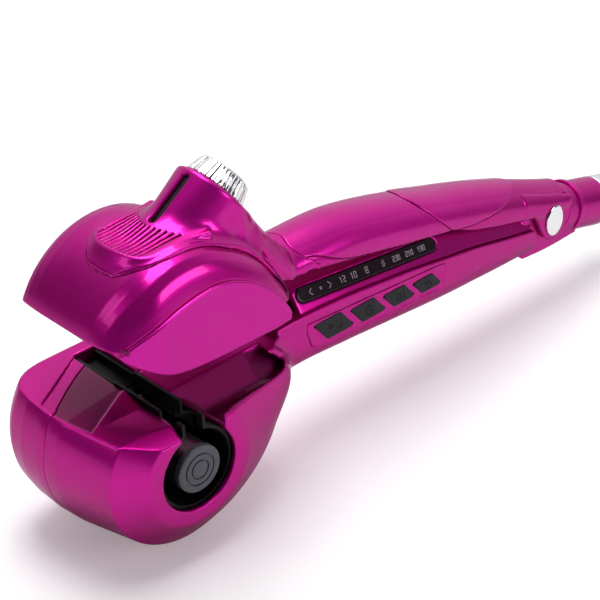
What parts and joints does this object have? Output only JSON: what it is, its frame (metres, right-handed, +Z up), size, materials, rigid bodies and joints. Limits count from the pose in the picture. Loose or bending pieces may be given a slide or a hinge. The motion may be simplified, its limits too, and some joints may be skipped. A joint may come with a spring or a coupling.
{
  "type": "automatic hair curler",
  "caption": "Handheld steam hair curler with a hinged jaw, a round curl chamber with a heated barrel and winding rotor, a lift-off water tank, push keys and a swivel cord tail.",
  "frame": {"origin": "on the curl barrel's axis, in the plane of the head's parting seam", "axes": "+X towards the handle and cord, -Y the open side of the curl chamber that faces the user's head, +Z up"},
  "size_m": [0.3459, 0.0718, 0.1372],
  "materials": {
    "shell_magenta": "pearlescent magenta lacquer",
    "cover_magenta": "pearlescent magenta lacquer",
    "black_heat_plastic": "black heat-proof plastic",
    "grey_cap": "satin grey moulded",
    "aluminium": "machined",
    "steel": "zinc-plated",
    "chrome": "mirror chrome",
    "silver_ring": "satin chrome",
    "button_rubber": "dark grey rubber",
    "dark_lens": "smoked translucent",
    "board": "solder mask",
    "white_plastic": "natural acetal",
    "gasket": "silicone",
    "cord_rubber": "black flexible"
  },
  "bodies": {
    "lower_body": {"lower_body_near_half": "shell_magenta", "lower_body_far_half": "shell_magenta", "chamber_liner": "black_heat_plastic", "hair_guide_trough": "black_heat_plastic", "heated_barrel": "aluminium", "barrel_heater_cartridge": "steel", "barrel_end_cap": "grey_cap", "barrel_spindle": "black_heat_plastic", "rotor_motor": "steel", "motor_bracket": "steel", "power_control_board": "board", "button_board": "board", "indicator_light_board": "board", "indicator_window": "dark_lens", "button_bezel": "shell_magenta", "case_screws": "steel", "hinge_pin": "steel", "jaw_torsion_spring": "steel", "tail_collar": "cover_magenta"},
    "upper_jaw": {"upper_jaw_shell": "shell_magenta", "handle_front_cover": "cover_magenta", "handle_thumb_cover": "cover_magenta", "cheek_plate_near": "shell_magenta", "cheek_plate_far": "shell_magenta", "upper_handle_tray": "shell_magenta", "jaw_floor_plate": "shell_magenta", "hair_closing_pad": "black_heat_plastic", "tank_feed_valve": "white_plastic", "steam_boiler": "aluminium", "steam_nozzle": "steel", "closing_magnet": "steel", "hinge_cap_near": "chrome", "hinge_cap_far": "chrome"},
    "rotor": {"winding_rotor": "black_heat_plastic", "rotor_drive_gear": "white_plastic"},
    "pinion": {"motor_pinion": "white_plastic", "motor_shaft": "steel"},
    "key_direction": {"button_direction": "button_rubber"},
    "key_timer": {"button_timer": "button_rubber"},
    "key_steam": {"button_steam": "button_rubber"},
    "key_power": {"button_power": "button_rubber"},
    "tank": {"water_tank": "cover_magenta", "tank_level_window": "dark_lens"},
    "tank_cap": {"filler_cap": "chrome", "filler_gasket": "gasket"},
    "cord_swivel": {"swivel_ring": "silver_ring", "strain_relief_boot": "cord_rubber", "power_cord_stub": "cord_rubber"}
  },
  "joints": [
    {"name": "jaw_hinge", "type": "hinge", "parent": "lower_body", "child": "upper_jaw", "pos_m": [0.222, -0.005, 0.0036], "axis": [0, -1, 0], "range_deg": [0, 6.8], "stiffness_Nm_per_rad": 0.4, "springref_deg": -34.38},
    {"name": "rotor_spin", "type": "hinge", "parent": "lower_body", "child": "rotor", "pos_m": [0, 0, 0], "axis": [0, 1, 0], "continuous": true},
    {"name": "pinion_spin", "type": "hinge", "parent": "lower_body", "child": "pinion", "pos_m": [0.01743, 0, -0.00634], "axis": [0, 1, 0], "continuous": true},
    {"name": "direction_press", "type": "slide", "parent": "lower_body", "child": "key_direction", "axis": [0, 1, 0], "range_m": [0, 0.001]},
    {"name": "timer_press", "type": "slide", "parent": "lower_body", "child": "key_timer", "axis": [0, 1, 0], "range_m": [0, 0.001]},
    {"name": "steam_press", "type": "slide", "parent": "lower_body", "child": "key_steam", "axis": [0, 1, 0], "range_m": [0, 0.001]},
    {"name": "power_press", "type": "slide", "parent": "lower_body", "child": "key_power", "axis": [0, 1, 0], "range_m": [0, 0.001]},
    {"name": "tank_lift", "type": "slide", "parent": "upper_jaw", "child": "tank", "axis": [-0.5, 0, 0.866], "range_m": [0, 0.04]},
    {"name": "cap_turn", "type": "hinge", "parent": "tank", "child": "tank_cap", "pos_m": [0.0429, -0.005, 0.0844], "axis": [0.809, 0, 0.5878], "range_deg": [0, 90]},
    {"name": "cord_turn", "type": "hinge", "parent": "lower_body", "child": "cord_swivel", "pos_m": [0.261, -0.005, -0.00671], "axis": [0.9703, 0, -0.2419], "continuous": true}
  ],
  "couplings": [
    {"joint": "pinion_spin", "follows": "rotor_spin", "ratio": -2.5333}
  ]
}
